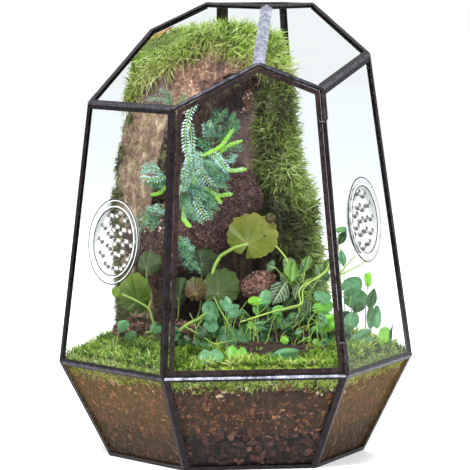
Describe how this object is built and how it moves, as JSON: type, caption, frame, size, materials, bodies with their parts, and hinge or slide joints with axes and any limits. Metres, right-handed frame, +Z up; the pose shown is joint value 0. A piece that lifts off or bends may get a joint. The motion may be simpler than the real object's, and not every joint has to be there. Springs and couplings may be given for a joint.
{
  "type": "glass terrarium",
  "caption": "Faceted glass terrarium of soldered panes with a hinged front door, side vents and a planted moss and cork bark landscape.",
  "frame": {"origin": "on the surface it stands on, below the centre of the hexagonal base", "axes": "+Z up, the door faces -Y, +X to the right seen from the front"},
  "size_m": [0.2953, 0.2597, 0.372],
  "materials": {
    "clear_glass": "clear polished",
    "clear_plastic": "clear glossy",
    "dark_solder": "dark patina, satin",
    "sleeve_metal": "dark patina",
    "pin_wire": "dark patina",
    "clay_pebbles": "matt fired clay",
    "bark_substrate": "damp bark chips",
    "moss": "fibrous",
    "cork": "rough bark",
    "fern": "soft leaf",
    "stem": "smooth stem",
    "dark_leaf": "satin leaf",
    "begonia_leaf": "satin leaf",
    "nerve_leaf": "satin leaf",
    "creeper_leaf": "satin leaf"
  },
  "bodies": {
    "case": {"back_roof_seams": "dark_solder", "bark_log": "cork", "bark_substrate": "bark_substrate", "base_pane": "clear_glass", "base_seams": "dark_solder", "begonia_dark": "dark_leaf", "begonia_large": "begonia_leaf", "begonia_left": "begonia_leaf", "cork_bark": "cork", "corner_seam_back_left": "dark_solder", "corner_seam_back_right": "dark_solder", "corner_seam_front_left": "dark_solder", "corner_seam_front_right": "dark_solder", "corner_seam_left": "dark_solder", "corner_seam_right": "dark_solder", "creeper_middle": "creeper_leaf", "creeper_right": "creeper_leaf", "door_header_seams": "dark_solder", "drainage_pebbles": "clay_pebbles", "eave_seam_left": "dark_solder", "eave_seam_right": "dark_solder", "fern_hanging": "fern", "fern_left": "fern", "fern_upper": "fern", "girdle_seams": "dark_solder", "hinge_sleeve_lower": "sleeve_metal", "hinge_sleeve_upper": "sleeve_metal", "lower_pane_back": "clear_glass", "lower_pane_back_left": "clear_glass", "lower_pane_back_right": "clear_glass", "lower_pane_front": "clear_glass", "lower_pane_left": "clear_glass", "lower_pane_right": "clear_glass", "lower_seams": "dark_solder", "middle_back_seam": "dark_solder", "moss_bed": "moss", "moss_cap": "moss", "moss_flank": "moss", "nerve_plant": "nerve_leaf", "ridge_seam": "dark_solder", "rim_seams": "dark_solder", "roof_left_pane": "clear_glass", "roof_right_pane": "clear_glass", "runner_stems": "stem", "top_pane": "clear_glass", "vent_left": "clear_plastic", "vent_right": "clear_plastic", "wall_pane_back_a": "clear_glass", "wall_pane_back_b": "clear_glass", "wall_pane_back_left": "clear_glass", "wall_pane_back_right": "clear_glass", "wall_pane_left": "clear_glass", "wall_pane_right": "clear_glass"},
    "door": {"door_pane": "clear_glass", "door_band": "dark_solder", "hinge_pin_upper": "pin_wire", "hinge_pin_lower": "pin_wire"}
  },
  "joints": [
    {"name": "door_hinge", "type": "hinge", "parent": "case", "child": "door", "pos_m": [0.06644, -0.11656, 0.18912], "axis": [-0.0662, 0.1216, 0.9904], "range_deg": [0, 110]}
  ]
}
